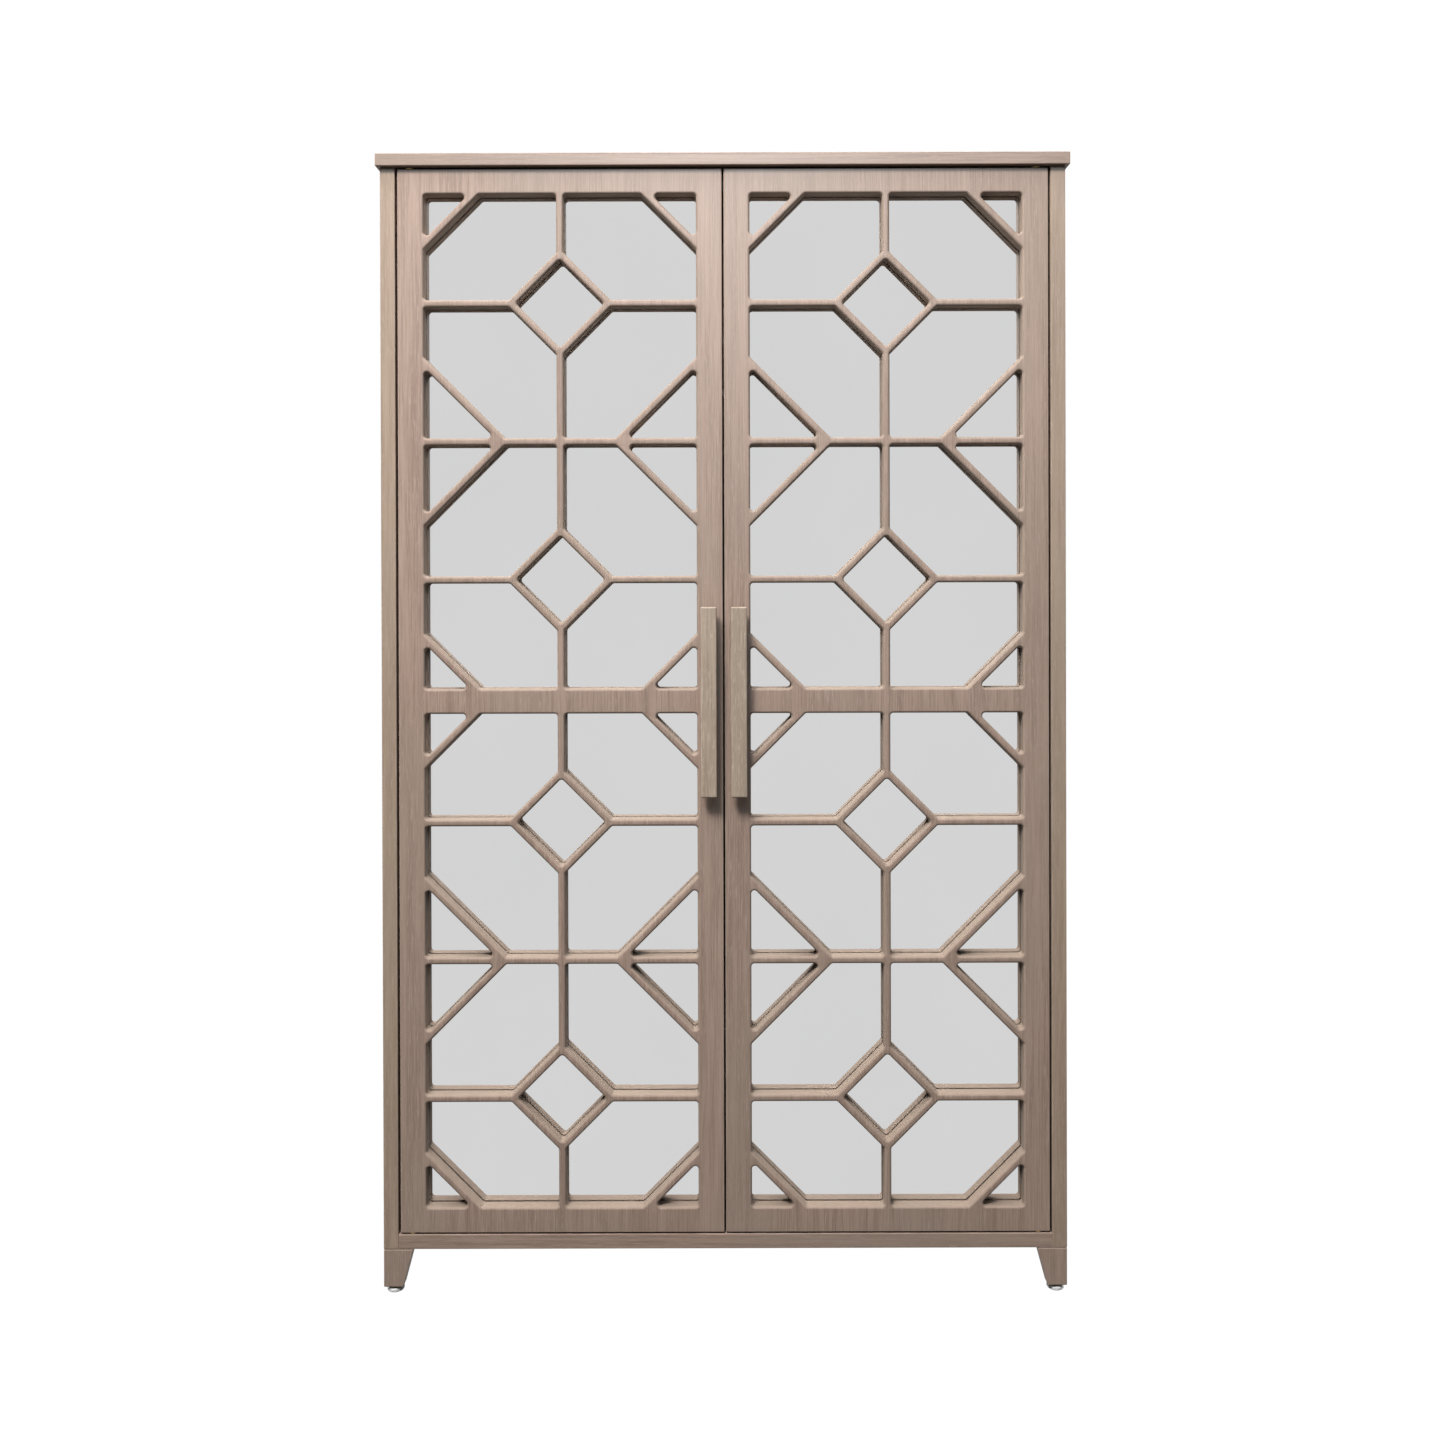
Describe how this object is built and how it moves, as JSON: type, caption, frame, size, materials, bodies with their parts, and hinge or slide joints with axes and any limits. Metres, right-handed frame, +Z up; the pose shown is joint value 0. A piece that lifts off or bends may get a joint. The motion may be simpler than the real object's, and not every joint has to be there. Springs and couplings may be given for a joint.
{
  "type": "armoire",
  "caption": "Tall two-door armoire with mirrored doors behind an octagon and diamond fretwork, wooden bar handles and tapered bracket feet on levelling glides.",
  "frame": {"origin": "on the floor, under the centre of the whole object's box, handles included", "axes": "+Z up, -Y is the front where the doors are, +X is right as seen from the front"},
  "size_m": [1.219, 0.526, 2.007],
  "materials": {
    "limed_oak": "limed open grain, matt lacquer",
    "inside_veneer": "stained veneer, matt lacquer",
    "back_ply": "stained plywood, matt",
    "mirror_glass": "silvered glass",
    "rod_chrome": "satin chrome",
    "zinc_steel": "zinc plated",
    "bush_brass": "turned",
    "beech": "fluted, unfinished",
    "catch_plastic": "moulded",
    "nylon": "moulded nylon"
  },
  "bodies": {
    "case": {"top_board": "limed_oak", "side_left": "limed_oak", "side_right": "limed_oak", "front_rail": "limed_oak", "back_rail": "limed_oak", "floor_board": "inside_veneer", "back_panel": "back_ply", "back_panel_screws": "zinc_steel", "hat_shelf": "inside_veneer", "adjustable_shelf": "inside_veneer", "shelf_pins": "zinc_steel", "hanging_rod": "rod_chrome", "rod_socket_left": "rod_chrome", "rod_socket_right": "rod_chrome", "foot_bolts": "zinc_steel", "case_dowels": "beech", "pivot_bushes_top": "bush_brass", "pivot_bushes_bottom": "bush_brass", "door_stop_rail": "inside_veneer", "catch_left": "catch_plastic", "catch_right": "catch_plastic", "hardware_screws": "zinc_steel", "foot_front_left": "limed_oak", "foot_front_right": "limed_oak", "foot_back_left": "limed_oak", "foot_back_right": "limed_oak"},
    "door_left": {"door_left_hinge_stile": "limed_oak", "door_left_meeting_stile": "limed_oak", "door_left_bottom_rail": "limed_oak", "door_left_middle_rail": "limed_oak", "door_left_top_rail": "limed_oak", "door_left_lattice": "limed_oak", "door_left_mirror": "mirror_glass", "door_left_backing": "inside_veneer", "door_left_back_frame": "inside_veneer", "door_left_handle": "limed_oak", "door_left_handle_posts": "limed_oak", "door_left_handle_bolts": "zinc_steel", "door_left_pivot_pins": "zinc_steel", "door_left_strike": "zinc_steel"},
    "door_right": {"door_right_hinge_stile": "limed_oak", "door_right_meeting_stile": "limed_oak", "door_right_bottom_rail": "limed_oak", "door_right_middle_rail": "limed_oak", "door_right_top_rail": "limed_oak", "door_right_lattice": "limed_oak", "door_right_mirror": "mirror_glass", "door_right_backing": "inside_veneer", "door_right_back_frame": "inside_veneer", "door_right_handle": "limed_oak", "door_right_handle_posts": "limed_oak", "door_right_handle_bolts": "zinc_steel", "door_right_pivot_pins": "zinc_steel", "door_right_strike": "zinc_steel"},
    "glide_front_left": {"glide_front_left": "nylon"},
    "glide_front_right": {"glide_front_right": "nylon"},
    "glide_back_left": {"glide_back_left": "nylon"},
    "glide_back_right": {"glide_back_right": "nylon"}
  },
  "joints": [
    {"name": "door_left_hinge", "type": "hinge", "parent": "case", "child": "door_left", "pos_m": [-0.553, -0.223, 1.0445], "axis": [0, 0, -1], "range_deg": [0, 110]},
    {"name": "door_right_hinge", "type": "hinge", "parent": "case", "child": "door_right", "pos_m": [0.553, -0.223, 1.0445], "axis": [0, 0, 1], "range_deg": [0, 110]},
    {"name": "glide_front_left_screw", "type": "slide", "parent": "case", "child": "glide_front_left", "axis": [0, 0, -1], "range_m": [0, 0.008]},
    {"name": "glide_front_right_screw", "type": "slide", "parent": "case", "child": "glide_front_right", "axis": [0, 0, -1], "range_m": [0, 0.008]},
    {"name": "glide_back_left_screw", "type": "slide", "parent": "case", "child": "glide_back_left", "axis": [0, 0, -1], "range_m": [0, 0.008]},
    {"name": "glide_back_right_screw", "type": "slide", "parent": "case", "child": "glide_back_right", "axis": [0, 0, -1], "range_m": [0, 0.008]}
  ]
}
